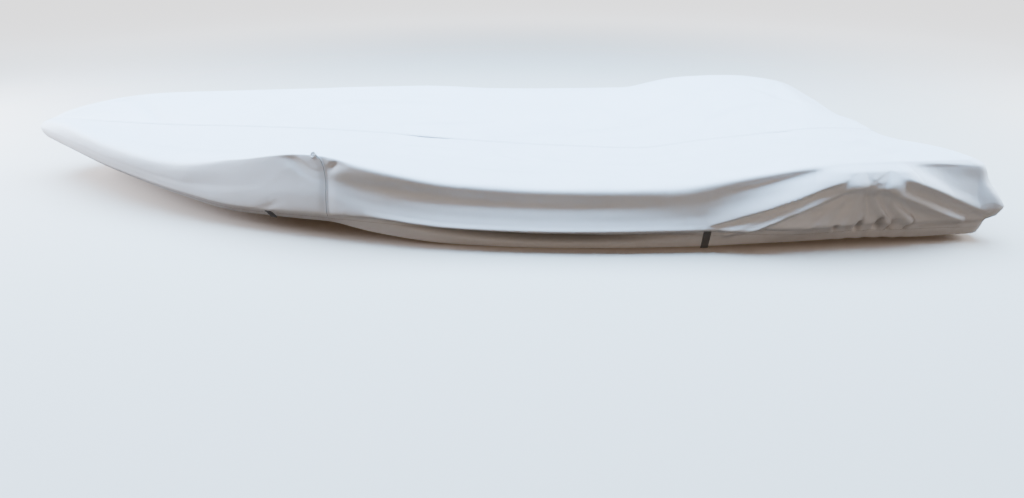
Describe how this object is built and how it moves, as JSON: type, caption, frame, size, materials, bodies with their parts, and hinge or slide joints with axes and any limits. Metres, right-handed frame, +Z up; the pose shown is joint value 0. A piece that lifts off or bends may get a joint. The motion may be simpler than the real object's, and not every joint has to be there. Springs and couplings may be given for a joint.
{
  "type": "fitted boat cover",
  "caption": "Fitted cloth cover for a small open boat, sewn from two halves, with skirts that fold over the gunwales and webbing loops along the hem for tying down.",
  "frame": {"origin": "middle of the cover's plan, level with the lowest point of its hem", "axes": "+Z up; the bow points to -X and the stern to +X; port is -Y and starboard is +Y"},
  "size_m": [3.8682, 1.5852, 0.306],
  "materials": {
    "cloth": "tightly woven polyester with a thin coating, satin",
    "webbing": "woven polyester webbing, matt"
  },
  "bodies": {
    "root": {"panel_port": "cloth", "panel_starboard": "cloth", "loop_port_fore": "webbing", "loop_port_aft": "webbing", "loop_starboard_fore": "webbing", "loop_starboard_aft": "webbing"}
  },
  "joints": []
}
